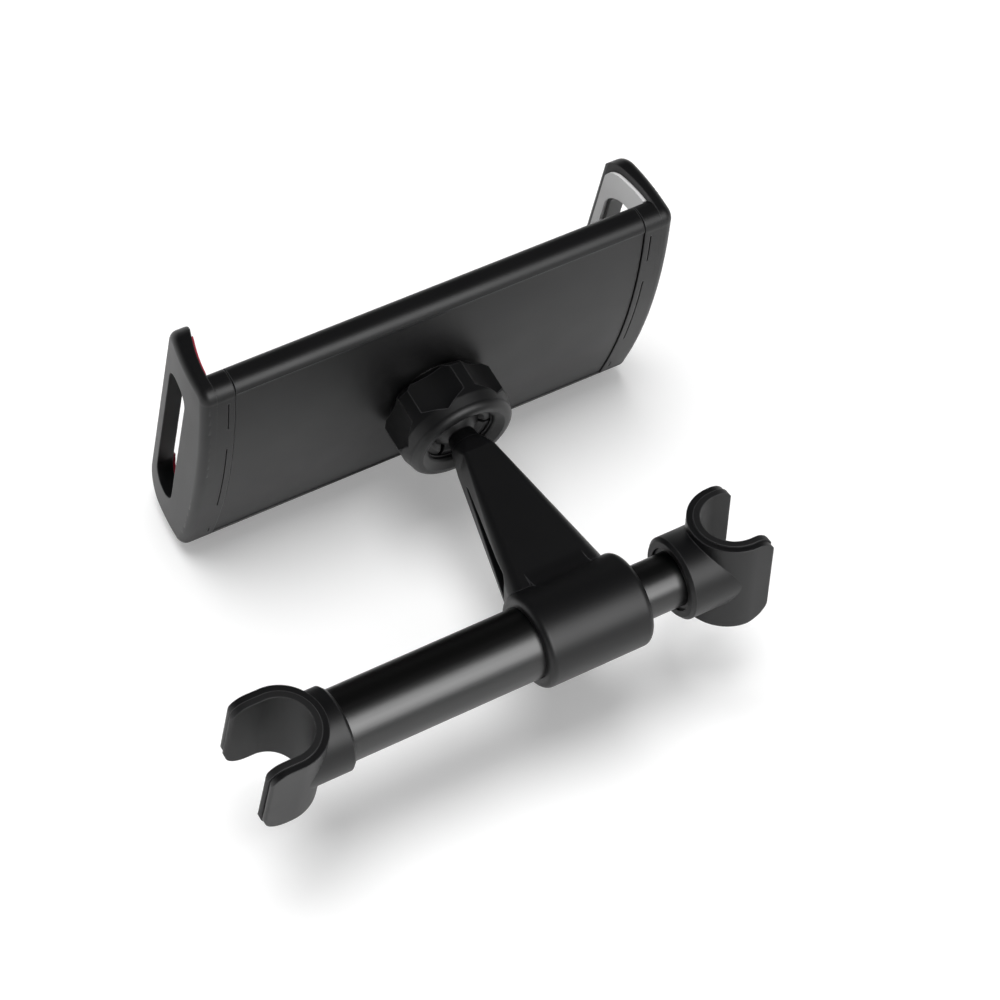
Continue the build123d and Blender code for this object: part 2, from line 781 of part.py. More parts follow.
nodes = {
    "outer_tube": outer_tube(),
    "inner_tube": inner_tube(),
    "fixed_hook": hook_shell(fixed_hook_reach, fixed_collar_length, outer_r + tube_fit),
    "fixed_hook_liner": hook_liner(fixed_hook_reach),
    "sliding_hook": sliding_hook(),
    "sliding_hook_liner": sliding_end(hook_liner(sliding_hook_reach)),
    "hook_bush": hook_bush(),
    "guide_bush": guide_bush(),
    "slide_bush": slide_bush(),
    "bar_spring": bar_spring(),
    "arm_bracket": arm_bracket(),
    "ball": ball(),
    "ball_cup": ball_cup(),
    "ball_socket": ball_socket(),
    "locking_nut": locking_nut(),
    "back_cover": back_cover(),
    "front_cover": front_cover(),
    "cover_screws": cover_screws(),
    "socket_screws": socket_screws(),
    "front_pad_left": front_pad_space(-1),
    "front_pad_right": front_pad_space(1),
    "left_jaw": placed_jaw(-1, jaw()),
    "right_jaw": placed_jaw(1, jaw()),
    "left_jaw_pad": placed_jaw(-1, jaw_pad()),
    "right_jaw_pad": placed_jaw(1, jaw_pad()),
    "left_jaw_spring": placed_jaw(-1, jaw_spring()),
    "right_jaw_spring": placed_jaw(1, jaw_spring()),
}

os.makedirs("parts", exist_ok=True)
for name, shape in nodes.items():
    export_step(shape, f"parts/{name}.step")
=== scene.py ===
import math

import bmesh
import bpy
from mathutils import Matrix, Vector


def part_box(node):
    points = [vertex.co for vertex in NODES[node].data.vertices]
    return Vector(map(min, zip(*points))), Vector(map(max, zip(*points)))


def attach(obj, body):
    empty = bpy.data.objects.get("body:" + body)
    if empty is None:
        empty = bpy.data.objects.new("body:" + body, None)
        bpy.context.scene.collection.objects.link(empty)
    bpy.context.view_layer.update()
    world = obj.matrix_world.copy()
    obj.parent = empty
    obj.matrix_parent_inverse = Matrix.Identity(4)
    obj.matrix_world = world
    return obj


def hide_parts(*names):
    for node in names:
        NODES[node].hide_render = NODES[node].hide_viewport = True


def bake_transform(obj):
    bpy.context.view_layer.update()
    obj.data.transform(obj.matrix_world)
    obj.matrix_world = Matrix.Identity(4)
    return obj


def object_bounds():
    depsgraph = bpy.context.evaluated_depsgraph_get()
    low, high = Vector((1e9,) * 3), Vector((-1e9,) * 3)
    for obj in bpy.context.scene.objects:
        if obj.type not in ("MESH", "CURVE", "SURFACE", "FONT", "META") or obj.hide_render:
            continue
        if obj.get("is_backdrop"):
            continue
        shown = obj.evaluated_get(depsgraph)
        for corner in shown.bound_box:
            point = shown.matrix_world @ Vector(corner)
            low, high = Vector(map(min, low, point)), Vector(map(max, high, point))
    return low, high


bl_info = {
    "name": "Headrest Tablet Mount",
    "version": (1, 0, 0),
    "blender": (4, 5, 0),
    "location": "View3D > Sidebar > Tablet Mount",
    "description": "Finishes and stage for a headrest mount that holds a tablet",
    "category": "Object",
}

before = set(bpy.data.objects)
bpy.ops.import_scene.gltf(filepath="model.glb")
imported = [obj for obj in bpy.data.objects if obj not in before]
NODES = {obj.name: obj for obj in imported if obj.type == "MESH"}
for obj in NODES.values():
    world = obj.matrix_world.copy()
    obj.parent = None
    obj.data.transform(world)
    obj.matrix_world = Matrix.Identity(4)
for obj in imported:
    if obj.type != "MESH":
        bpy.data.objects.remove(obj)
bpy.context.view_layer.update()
MM = 0.001

# The camera as solved from the photograph's straight edges and round rims
CAMERA_PLACE = (-0.25301, -0.30724, 0.77090)
CAMERA_RIGHT = (0.85487, -0.49577, 0.15300)
CAMERA_UP = (0.36178, 0.78095, 0.50915)
CAMERA_BACK = (-0.37191, -0.37991, 0.84697)
CAMERA_LENS = 129.32
SENSOR_WIDTH = 36.0

# Softened edges: how wide they are, the match of rounded and true normals below which the painted highlight
# along them shows, and how strongly it is painted
EDGE_WIDTH = 0.45 * MM
HIGHLIGHT_EDGE_MATCH = 0.993
HIGHLIGHT_EDGE_STRENGTH = 10.0

# How far the roughness moves from its lowest to its highest value, and the shine of moulded surfaces
ROUGHNESS_SPAN = 0.1
MOULDED_SHINE = 0.4
RUBBER_GRAIN = 1500.0

# How far a cutter reaches out of a jaw's cheek, into it, and past a lip's sharp edge
CUT_OUTSIDE = 5 * MM
CUT_INSIDE = 15 * MM
CUT_CLEARANCE = 4 * MM
ARC_STEPS = 10

# Faces that meet at more than this angle keep a sharp edge between them
SHARP_ANGLE = math.radians(28)

FLOOR_HALF_WIDTH = 3.0
FLOOR_WHITE = (0.92, 0.92, 0.92, 1.0)
FLOOR_LIFT = 0.15
PURE_WHITE = (1.0, 1.0, 1.0, 1.0)

# Where the mirrored wall has turned dark, from 0 at floor level to 1 overhead
WALL_TOP = 0.5

# Lights, placed from the middle of the mount
TOP_LIGHT_FROM = Vector((-0.12, 0.2, 1.0))
TOP_LIGHT_ANGLE = math.radians(34)
FRONT_PANEL_FROM = Vector((0.15, -0.66, 0.70))
FRONT_PANEL_WIDTH = 0.8

PLASTIC_NODES = (
    "fixed_hook",
    "sliding_hook",
    "arm_bracket",
    "ball",
    "ball_socket",
    "locking_nut",
    "back_cover",
    "front_cover",
)
TUBE_NODES = ("outer_tube", "inner_tube")
LINER_NODES = ("fixed_hook_liner", "sliding_hook_liner", "front_pad_left", "front_pad_right")
BEARING_NODES = ("guide_bush", "slide_bush", "hook_bush", "ball_cup")
SCREW_NODES = ("cover_screws", "socket_screws")


# Shader node groups

def new_group(name, inputs, outputs):
    """An empty shader node group with named float, colour or vector sockets."""
    group = bpy.data.node_groups.new(name, "ShaderNodeTree")
    for socket_name, kind, default in inputs:
        socket = group.interface.new_socket(socket_name, in_out="INPUT", socket_type=kind)
        socket.default_value = default
    for socket_name, kind in outputs:
        group.interface.new_socket(socket_name, in_out="OUTPUT", socket_type=kind)
    return group


def add(tree, kind, **values):
    """A node with its attributes set."""
    node = tree.nodes.new(kind)
    for key, value in values.items():
        setattr(node, key, value)
    return node


def maths(tree, operation, first, second, clamp=False):
    """A Math node fed by sockets or numbers. Returns its output socket."""
    node = add(tree, "ShaderNodeMath", operation=operation, use_clamp=clamp)
    for socket, value in zip(node.inputs, (first, second)):
        if isinstance(value, (int, float)):
            socket.default_value = value
        else:
            tree.links.new(value, socket)
    return node.outputs[0]


def grain_group():
    """Fine spark-eroded grain of moulded plastic, as a height and a mask."""
    name = "moulded_grain"
    if name in bpy.data.node_groups:
        return bpy.data.node_groups[name]
    group = new_group(
        name,
        [("Scale", "NodeSocketFloat", 2400.0), ("Patch Scale", "NodeSocketFloat", 60.0)],
        [("Height", "NodeSocketFloat"), ("Patches", "NodeSocketFloat")],
    )
    start = add(group, "NodeGroupInput")
    end = add(group, "NodeGroupOutput")
    place = add(group, "ShaderNodeTexCoord")
    fine = add(group, "ShaderNodeTexNoise")
    fine.inputs["Detail"].default_value = 2.0
    fine.inputs["Roughness"].default_value = 0.6
    patches = add(group, "ShaderNodeTexNoise")
    patches.inputs["Detail"].default_value = 3.0
    group.links.new(place.outputs["Object"], fine.inputs["Vector"])
    group.links.new(place.outputs["Object"], patches.inputs["Vector"])
    group.links.new(start.outputs["Scale"], fine.inputs["Scale"])
    group.links.new(start.outputs["Patch Scale"], patches.inputs["Scale"])
    group.links.new(fine.outputs["Fac"], end.inputs["Height"])
    group.links.new(patches.outputs["Fac"], end.inputs["Patches"])
    return group


def soft_edge_and_highlight_group():
    """Softened edges: a rounded normal, and a mask for a highlight painted along the corners."""
    name = "soft_edges"
    if name in bpy.data.node_groups:
        return bpy.data.node_groups[name]
    group = new_group(
        name,
        [("Strength", "NodeSocketFloat", HIGHLIGHT_EDGE_STRENGTH)],
        [("Normal", "NodeSocketVector"), ("Edge", "NodeSocketFloat")],
    )
    start = add(group, "NodeGroupInput")
    end = add(group, "NodeGroupOutput")
    bevel = add(group, "ShaderNodeBevel", samples=6)
    bevel.inputs["Radius"].default_value = EDGE_WIDTH
    surface = add(group, "ShaderNodeNewGeometry")
    match = add(group, "ShaderNodeVectorMath", operation="DOT_PRODUCT")
    group.links.new(bevel.outputs["Normal"], match.inputs[0])
    group.links.new(surface.outputs["Normal"], match.inputs[1])
    # The mask for the painted edge highlight: bright where the rounded normal turns away from the true one
    away = maths(group, "SUBTRACT", HIGHLIGHT_EDGE_MATCH, match.outputs["Value"])
    edge = maths(group, "MULTIPLY", away, start.outputs["Strength"], clamp=True)
    group.links.new(bevel.outputs["Normal"], end.inputs["Normal"])
    group.links.new(edge, end.inputs["Edge"])
    return group


def brush_group():
    """Fine lines left along a drawn tube, a screw or a wire, as a height."""
    name = "drawn_lines"
    if name in bpy.data.node_groups:
        return bpy.data.node_groups[name]
    group = new_group(
        name,
        [("Across", "NodeSocketFloat", 900.0), ("Along", "NodeSocketFloat", 30.0)],
        [("Height", "NodeSocketFloat")],
    )
    start = add(group, "NodeGroupInput")
    end = add(group, "NodeGroupOutput")
    place = add(group, "ShaderNodeTexCoord")
    stretch = add(group, "ShaderNodeCombineXYZ")
    group.links.new(start.outputs["Along"], stretch.inputs["X"])
    group.links.new(start.outputs["Across"], stretch.inputs["Y"])
    group.links.new(start.outputs["Across"], stretch.inputs["Z"])
    scaled = add(group, "ShaderNodeVectorMath", operation="MULTIPLY")
    group.links.new(place.outputs["Object"], scaled.inputs[0])
    group.links.new(stretch.outputs["Vector"], scaled.inputs[1])
    lines = add(group, "ShaderNodeTexNoise")
    lines.inputs["Scale"].default_value = 1.0
    lines.inputs["Detail"].default_value = 3.0
    group.links.new(scaled.outputs["Vector"], lines.inputs["Vector"])
    group.links.new(lines.outputs["Fac"], end.inputs["Height"])
    return group


# Materials

def start_material(name):
    """A material ready to be linked. Returns it with its node tree and its Principled shader."""
    material = bpy.data.materials.new(name)
    material.use_nodes = True
    tree = material.node_tree
    shader = tree.nodes["Principled BSDF"]
    return material, tree, shader


def place_group(tree, group, **values):
    """A group node with its own values."""
    node = add(tree, "ShaderNodeGroup")
    node.node_tree = group
    for key, value in values.items():
        node.inputs[key].default_value = value
    return node


def paint_edge_highlight(tree, shader, edge, colour, edge_highlight_colour):
    """The base colour, changing to a painted highlight colour where the edge mask is bright."""
    node = add(tree, "ShaderNodeMix", data_type="RGBA")
    node.inputs["A"].default_value = (*colour, 1.0)
    node.inputs["B"].default_value = (*edge_highlight_colour, 1.0)
    tree.links.new(edge, node.inputs["Factor"])
    tree.links.new(node.outputs["Result"], shader.inputs["Base Color"])


def vary_roughness(tree, shader, value, rough):
    """Roughness that moves a little round its mean with a 0 to 1 value."""
    node = add(tree, "ShaderNodeMapRange")
    node.inputs["To Min"].default_value = rough - ROUGHNESS_SPAN / 2
    node.inputs["To Max"].default_value = rough + ROUGHNESS_SPAN / 2
    tree.links.new(value, node.inputs["Value"])
    tree.links.new(node.outputs["Result"], shader.inputs["Roughness"])


def raise_relief(tree, shader, height, depth, normal):
    """Fine relief of a given depth on top of the softened edges."""
    bump = add(tree, "ShaderNodeBump")
    bump.inputs["Strength"].default_value = 1.0
    bump.inputs["Distance"].default_value = depth
    tree.links.new(height, bump.inputs["Height"])
    tree.links.new(normal, bump.inputs["Normal"])
    tree.links.new(bump.outputs["Normal"], shader.inputs["Normal"])


def moulded(name, colour, edge_highlight_colour, rough, grain, grain_depth):
    """Moulded plastic or rubber: grain in the surface, soft edges with a highlight painted along them."""
    material, tree, shader = start_material(name)
    surface = place_group(tree, grain_group(), Scale=grain)
    edges = place_group(tree, soft_edge_and_highlight_group())
    paint_edge_highlight(tree, shader, edges.outputs["Edge"], colour, edge_highlight_colour)
    vary_roughness(tree, shader, surface.outputs["Patches"], rough)
    raise_relief(tree, shader, surface.outputs["Height"], grain_depth, edges.outputs["Normal"])
    shader.inputs["Specular IOR Level"].default_value = MOULDED_SHINE
    return material


def drawn_metal(name, colour, edge_highlight_colour, rough, line_depth):
    """Satin metal with fine drawn lines along the bar, and a highlight painted along the edges."""
    material, tree, shader = start_material(name)
    lines = place_group(tree, brush_group())
    edges = place_group(tree, soft_edge_and_highlight_group())
    paint_edge_highlight(tree, shader, edges.outputs["Edge"], colour, edge_highlight_colour)
    vary_roughness(tree, shader, lines.outputs["Height"], rough)
    raise_relief(tree, shader, lines.outputs["Height"], line_depth, edges.outputs["Normal"])
    shader.inputs["Metallic"].default_value = 1.0
    return material


def dress(names, material):
    """Give CAD nodes a material."""
    for name in names:
        slots = NODES[name].data.materials
        slots.clear()
        slots.append(material)


# Sizes and colours that a user would change

class TABMOUNT_PG_finish(bpy.types.PropertyGroup):
    """Colours and roughness of the pieces"""
    plastic: bpy.props.FloatVectorProperty(
        name="Plastic",
        description="Colour of the moulded black pieces",
        default=(0.0040, 0.0040, 0.0045),
        subtype="COLOR",
    )
    # A painted highlight: the lighter colour painted along the plastic's edges, where light would catch
    # them
    plastic_edge_highlight: bpy.props.FloatVectorProperty(
        name="Plastic Edges",
        description="Colour of the plastic along highlit edges",
        default=(0.045, 0.045, 0.047),
        subtype="COLOR",
    )
    plastic_roughness: bpy.props.FloatProperty(
        name="Plastic Roughness",
        description="How matt the moulded pieces are",
        default=0.44,
        min=0.05,
        max=1.0,
        subtype="FACTOR",
    )
    tube: bpy.props.FloatVectorProperty(
        name="Tube",
        description="Colour of the coated tubes",
        default=(0.068, 0.068, 0.068),
        subtype="COLOR",
    )
    tube_roughness: bpy.props.FloatProperty(
        name="Tube Roughness",
        description="How matt the tubes are",
        default=0.36,
        min=0.05,
        max=1.0,
        subtype="FACTOR",
    )
    liner: bpy.props.FloatVectorProperty(
        name="Liner",
        description="Colour of the soft hook liners and the holder's strips",
        default=(0.006, 0.006, 0.0065),
        subtype="COLOR",
    )
    left_pad: bpy.props.FloatVectorProperty(
        name="Left Jaw Pad",
        description="Colour of the left jaw's soft pad",
        default=(0.36, 0.012, 0.035),
        subtype="COLOR",
    )
    right_pad: bpy.props.FloatVectorProperty(
        name="Right Jaw Pad",
        description="Colour of the right jaw's soft pad",
        default=(0.72, 0.72, 0.72),
        subtype="COLOR",
    )


class TABMOUNT_PG_jaws(bpy.types.PropertyGroup):
    """Windows, lips and pads of the two jaws"""
    window_start: bpy.props.FloatProperty(
        name="Window Start",
        description="Where the jaw's window begins behind the tablet's back",
        default=84.95 * MM,
        unit="LENGTH",
    )
    window_end: bpy.props.FloatProperty(
        name="Window End",
        description="Where the jaw's window ends below the lip",
        default=95.3 * MM,
        unit="LENGTH",
    )
    window_height: bpy.props.FloatProperty(
        name="Window Height",
        description="Length of the jaw's window",
        default=50.6 * MM,
        unit="LENGTH",
    )
    window_corner: bpy.props.FloatProperty(
        name="Window Corner",
        description="Radius of the window's ends",
        default=4.6 * MM,
        unit="LENGTH",
    )
    left_pad_step: bpy.props.FloatProperty(
        name="Left Pad Step",
        description="How far the left pad's window is larger than the jaw's",
        default=1.4 * MM,
        unit="LENGTH",
    )
    right_pad_step: bpy.props.FloatProperty(
        name="Right Pad Step",
        description="How far the right pad's window is larger than the jaw's",
        default=0.6 * MM,
        unit="LENGTH",
    )
    lip_corner: bpy.props.FloatProperty(
        name="Lip Corner",
        description="From the holder's middle to the sharp inner edge of a lip",
        default=60.39 * MM,
        unit="LENGTH",
    )
    lip_angle: bpy.props.FloatProperty(
        name="Lip Angle",
        description="Angle between a lip's front and its leaning inner face",
        default=math.radians(64.3),
        subtype="ANGLE",
    )
    left_lip_radius: bpy.props.FloatProperty(
        name="Left Lip Radius",
        description="Rounding of the left lip's inner edge",
        default=1.9 * MM,
        unit="LENGTH",
    )
    right_lip_radius: bpy.props.FloatProperty(
        name="Right Lip Radius",
        description="Rounding of the right lip's inner edge",
        default=0.8 * MM,
        unit="LENGTH",
    )
    pad_rim: bpy.props.FloatProperty(
        name="Pad Rim",
        description="How much more than the lip's edge the pad's edge is cut back",
        default=0.25 * MM,
        unit="LENGTH",
    )


class TABMOUNT_PG_springs(bpy.types.PropertyGroup):
    """Wire and turns of the springs"""
    jaw_wire: bpy.props.FloatProperty(
        name="Jaw Spring Wire",
        description="Thickness of the jaw springs' wire",
        default=0.5 * MM,
        unit="LENGTH",
    )
    bar_wire: bpy.props.FloatProperty(
        name="Bar Spring Wire",
        description="Thickness of the bar spring's wire",
        default=1.2 * MM,
        unit="LENGTH",
    )
    jaw_turns: bpy.props.IntProperty(
        name="Jaw Spring Turns",
        description="Number of turns in each jaw spring",
        default=40,
    )
    bar_turns: bpy.props.IntProperty(
        name="Bar Spring Turns",
        description="Number of turns in the bar's push spring",
        default=7,
    )


class TABMOUNT_PG_stage(bpy.types.PropertyGroup):
    """Floor, lights and mirrored room"""
    floor_drop: bpy.props.FloatProperty(
        name="Floor Drop",
        description="Distance from the lowest point of the mount down to the floor",
        default=4.0 * MM,
        unit="LENGTH",
    )
    top_strength: bpy.props.FloatProperty(
        name="Top Light",
        description="Strength of the wide soft light from above, which draws the floor's shadow",
        default=2.1,
    )
    shine_power: bpy.props.FloatProperty(
        name="Shine Panel",
        description="Power of the soft panel in front, which is only seen mirrored in the pieces",
        default=11.5,
        unit="POWER",
    )
    sky: bpy.props.FloatProperty(
        name="Sky",
        description="Strength of the even light from all round on matt surfaces",
        default=0.45,
    )
    dark_above: bpy.props.FloatProperty(
        name="Mirrored Ceiling",
        description="Strength of the room overhead as shiny surfaces mirror it",
        default=0.02,
    )
    wall_glow: bpy.props.FloatProperty(
        name="Mirrored Wall",
        description="Strength of the pale wall at floor level as shiny surfaces mirror it",
        default=0.6,
    )


# Finishes, one operator for each group of like pieces

class TABMOUNT_OT_plastic(bpy.types.Operator):
    """Finish the moulded hooks, arm, ball joint and covers"""
    bl_idname = "tabmount.plastic"
    bl_label = "Moulded Pieces"

    def execute(self, context):
        look = context.scene.tabmount_finish
        material = moulded(
            "black_plastic",
            colour=look.plastic,
            # The plastic's highlight painted along its edges
            edge_highlight_colour=look.plastic_edge_highlight,
            rough=look.plastic_roughness,
            grain=2600.0,
            grain_depth=0.004 * MM,
        )
        dress(PLASTIC_NODES, material)
        return {"FINISHED"}


class TABMOUNT_OT_tubes(bpy.types.Operator):
    """Finish the two telescoping tubes"""
    bl_idname = "tabmount.tubes"
    bl_label = "Tubes"

    def execute(self, context):
        look = context.scene.tabmount_finish
        material = drawn_metal(
            "black_tube",
            colour=look.tube,
            # A highlight painted along the tubes' edges
            edge_highlight_colour=(0.2, 0.2, 0.2),
            rough=look.tube_roughness,
            line_depth=0.003 * MM,
        )
        dress(TUBE_NODES, material)
        return {"FINISHED"}


class TABMOUNT_OT_liners(bpy.types.Operator):
    """Finish the soft hook liners and the strips on the holder's face"""
    bl_idname = "tabmount.liners"
    bl_label = "Liners and Strips"

    def execute(self, context):
        look = context.scene.tabmount_finish
        material = moulded(
            "black_rubber",
            colour=look.liner,
            # A highlight painted along the liners' edges
            edge_highlight_colour=(0.05, 0.05, 0.052),
            rough=0.6,
            grain=RUBBER_GRAIN,
            grain_depth=0.02 * MM,
        )
        dress(LINER_NODES, material)
        return {"FINISHED"}


class TABMOUNT_OT_bearings(bpy.types.Operator):
    """Finish the bushes in the bar and the cup behind the ball"""
    bl_idname = "tabmount.bearings"
    bl_label = "Bushes and Cup"

    def execute(self, context):
        material = moulded(
            "slide_plastic",
            colour=(0.02, 0.02, 0.022),
            # A highlight painted along the bushes' edges
            edge_highlight_colour=(0.05, 0.05, 0.05),
            rough=0.35,
            grain=1200.0,
            grain_depth=0.005 * MM,
        )
        dress(BEARING_NODES, material)
        return {"FINISHED"}


class TABMOUNT_OT_screws(bpy.types.Operator):
    """Finish the screws of the holder and the socket"""
    bl_idname = "tabmount.screws"
    bl_label = "Screws"

    def execute(self, context):
        material = drawn_metal(
            "screw_steel",
            colour=(0.08, 0.08, 0.085),
            # A highlight painted along the screws' edges
            edge_highlight_colour=(0.3, 0.3, 0.3),
            rough=0.3,
            line_depth=0.004 * MM,
        )
        dress(SCREW_NODES, material)
        return {"FINISHED"}


# Objects and meshes

def new_object(name, data):
    """An object in the scene that holds the given data."""
    piece = bpy.data.objects.new(name, data)
    bpy.context.collection.objects.link(piece)
    return piece


def new_piece(name, mesh):
    """A piece made from a bmesh, with its faces turned outwards."""
    bmesh.ops.recalc_face_normals(mesh, faces=mesh.faces)
    data = bpy.data.meshes.new(name)
    mesh.to_mesh(data)
    mesh.free()
    return new_object(name, data)


def add_wall(mesh, near, far):
    """The faces between two rings of as many points, all the way round."""
    count = len(near)
    for i in range(count):
        following = (i + 1) % count
        mesh.faces.new((near[i], near[following], far[following], far[i]))


def add_ends(mesh, near, far):
    """The faces that close the first and the last ring."""
    mesh.faces.new(list(reversed(near)))
    mesh.faces.new(far)


def prism(name, points, axis, low, high):
    """A closed solid: an outline square to the X or the Z axis, drawn out from low to high."""
    def place(point, level):
        """A corner of the outline at a level along the axis."""
        if axis == "X":
            return (level, point[0], point[1])
        return (point[0], point[1], level)

    mesh = bmesh.new()
    near = [mesh.verts.new(place(point, low)) for point in points]
    far = [mesh.verts.new(place(point, high)) for point in points]
    add_wall(mesh, near, far)
    add_ends(mesh, near, far)
    return new_piece(name, mesh)


# Jaws

def arc_points(centre, radius, first, last):
    """Points of an arc between two angles in radians."""
    points = []
    for i in range(ARC_STEPS + 1):
        angle = first + (last - first) * i / ARC_STEPS
        points.append((centre[0] + radius * math.cos(angle), centre[1] + radius * math.sin(angle)))
    return points


def slot_outline(y0, y1, z_half, radius):
    """A rounded rectangle across Y and Z."""
    quarter = math.pi / 2
    points = []
    corners = ((y1, z_half, 0), (y0, z_half, 1), (y0, -z_half, 2), (y1, -z_half, 3))
    for y, z, turn in corners:
        centre = (y - radius if y == y1 else y + radius, z - radius if z > 0 else z + radius)
        points += arc_points(centre, radius, turn * quarter, (turn + 1) * quarter)
    return points


def lip_edge_outline(corner, slope, radius, side):
    """What the rounding takes off the sharp edge between a jaw's front and its leaning inner face."""
    half = slope / 2
    run = radius / math.tan(half)
    inward = (side * math.cos(slope), -math.sin(slope))
    front = (corner[0] + side * run, corner[1])
    back = (corner[0] + inward[0] * run, corner[1] + inward[1] * run)
    centre = (front[0], front[1] - radius)
    first = math.pi / 2
    last = first + side * (math.pi - slope)
    arc = arc_points(centre, radius, first, last)
    outside = (-side * math.sin(slope) * CUT_CLEARANCE, -math.cos(slope) * CUT_CLEARANCE)
    return [
        *arc,
        (back[0] + outside[0], back[1] + outside[1]),
        (corner[0] - side * CUT_CLEARANCE, corner[1] + CUT_CLEARANCE),
        (front[0], front[1] + CUT_CLEARANCE),
    ]


def settle(piece):
    """Bake a piece's modifiers into its mesh."""
    bpy.context.view_layer.update()
    graph = bpy.context.evaluated_depsgraph_get()
    data = bpy.data.meshes.new_from_object(piece.evaluated_get(graph))
    piece.modifiers.clear()
    piece.data = data


def keep_normals(data):
    """Write each corner's shading normal into an attribute, which a boolean carries along."""
    normals = [corner.vector.copy() for corner in data.corner_normals]
    kept = data.attributes.new("kept_normal", "FLOAT_VECTOR", "CORNER")
    for item, normal in zip(kept.data, normals):
        item.vector = normal


def restore_normals(data):
    """Shade old faces by their kept normals, and cut ones, whose kept normals are zero, by their own."""
    own = [corner.vector.copy() for corner in data.corner_normals]
    kept = data.attributes["kept_normal"]
    normals = []
    for item, normal in zip(kept.data, own):
        old = Vector(item.vector)
        is_kept = old.length > 0.5
        normals.append(old.normalized() if is_kept else normal)
    data.attributes.remove(kept)
    data.normals_split_custom_set(normals)


def carved(node, name, cutters):
    """A copy of a CAD node's mesh with cutters taken out of it and the rest shaded as it was."""
    piece = new_object(name, NODES[node].data.copy())
    keep_normals(piece.data)
    for cutter in cutters:
        change = piece.modifiers.new("cut", "BOOLEAN")
        change.operation = "DIFFERENCE"
        change.solver = "EXACT"
        change.object = cutter
    settle(piece)
    piece.data.shade_smooth()
    piece.data.set_sharp_from_angle(angle=SHARP_ANGLE)
    restore_normals(piece.data)
    for cutter in cutters:
        bpy.data.objects.remove(cutter)
    return piece


def window_cutter(jaws, outer_x, side, growth):
    """What opens a window through a cheek or its pad, larger all round by growth."""
    outline = slot_outline(
        jaws.window_start - growth,
        jaws.window_end + growth,
        jaws.window_height / 2 + growth,
        jaws.window_corner + growth,
    )
    ends = sorted((outer_x + side * CUT_OUTSIDE, outer_x - side * CUT_INSIDE))
    return prism("window_cut", outline, "X", *ends)


def edge_cutter(jaws, corner, radius, side, ends):
    """What rounds the inner edge of a lip over its whole length."""
    outline = lip_edge_outline(corner, jaws.lip_angle, radius, side)
    return prism("edge_cut", outline, "Z", *ends)


class TABMOUNT_OT_jaws(bpy.types.Operator):
    """Open the jaws' windows to their full width and round the lips' inner edges"""
    bl_idname = "tabmount.jaws"
    bl_label = "Jaws"

    def execute(self, context):
        jaws = context.scene.tabmount_jaws
        look = context.scene.tabmount_finish
        low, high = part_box("back_cover")
        middle_x = (low.x + high.x) / 2
        past_ends = (2 * low.z, 2 * high.z)
        plastic = NODES["back_cover"].data.materials[0]
        pad = {"rough": 0.5, "grain": RUBBER_GRAIN, "grain_depth": 0.015 * MM}
        # Highlights painted along the pads' edges
        red = moulded("red_rubber", look.left_pad, edge_highlight_colour=(0.5, 0.05, 0.08), **pad)
        grey = moulded("grey_rubber", look.right_pad, edge_highlight_colour=(0.6, 0.6, 0.6), **pad)
        plan = (
            ("left", -1, red, jaws.left_lip_radius, jaws.left_pad_step),
            ("right", 1, grey, jaws.right_lip_radius, jaws.right_pad_step),
        )
        for prefix, side, rubber, lip_radius, pad_step in plan:
            jaw_low, jaw_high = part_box(prefix + "_jaw")
            outer_x = jaw_low.x if side < 0 else jaw_high.x
            corner = (middle_x + side * jaws.lip_corner, jaw_high.y)
            parts = (
                ("_jaw", "_jaw_body", plastic, 0.0, lip_radius),
                ("_jaw_pad", "_jaw_rubber", rubber, pad_step, lip_radius + jaws.pad_rim),
            )
            for node, name, material, growth, radius in parts:
                cutters = (
                    window_cutter(jaws, outer_x, side, growth),
                    edge_cutter(jaws, corner, radius, side, past_ends),
                )
                piece = carved(prefix + node, prefix + name, cutters)
                piece.data.materials.clear()
                piece.data.materials.append(material)
                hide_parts(prefix + node)
                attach(piece, prefix + "_jaw")
        return {"FINISHED"}


# Springs

def coil(name, start, end, radius, wire, turns):
    """A helix of round wire round the line from start to end."""
    steps_a_turn = 20
    sides = 8
    axis = (end - start).normalized()
    second = axis.cross(Vector((0, 0, 1))).normalized()
    first = second.cross(axis).normalized()
    length = (end - start).length
    count = turns * steps_a_turn
    mesh = bmesh.new()
    rings = []
    for i in range(count + 1):
        share = i / count
        angle = 2 * math.pi * turns * share
        outward = first * math.cos(angle) + second * math.sin(angle)
        sideways = second * math.cos(angle) - first * math.sin(angle)
        run = (sideways * radius * 2 * math.pi * turns + axis * length).normalized()
        binormal = run.cross(outward).normalized()
        centre = start + axis * (wire / 2 + (length - wire) * share) + outward * (radius - wire / 2)
        ring = []
        for k in range(sides):
            turn = 2 * math.pi * k / sides
            offset = outward * math.cos(turn) + binormal * math.sin(turn)
            ring.append(mesh.verts.new(centre + offset * wire / 2))
        rings.append(ring)
    for near, far in zip(rings, rings[1:]):
        add_wall(mesh, near, far)
    add_ends(mesh, rings[0], rings[-1])
    piece = new_piece(name, mesh)
    piece.data.shade_smooth()
    return piece


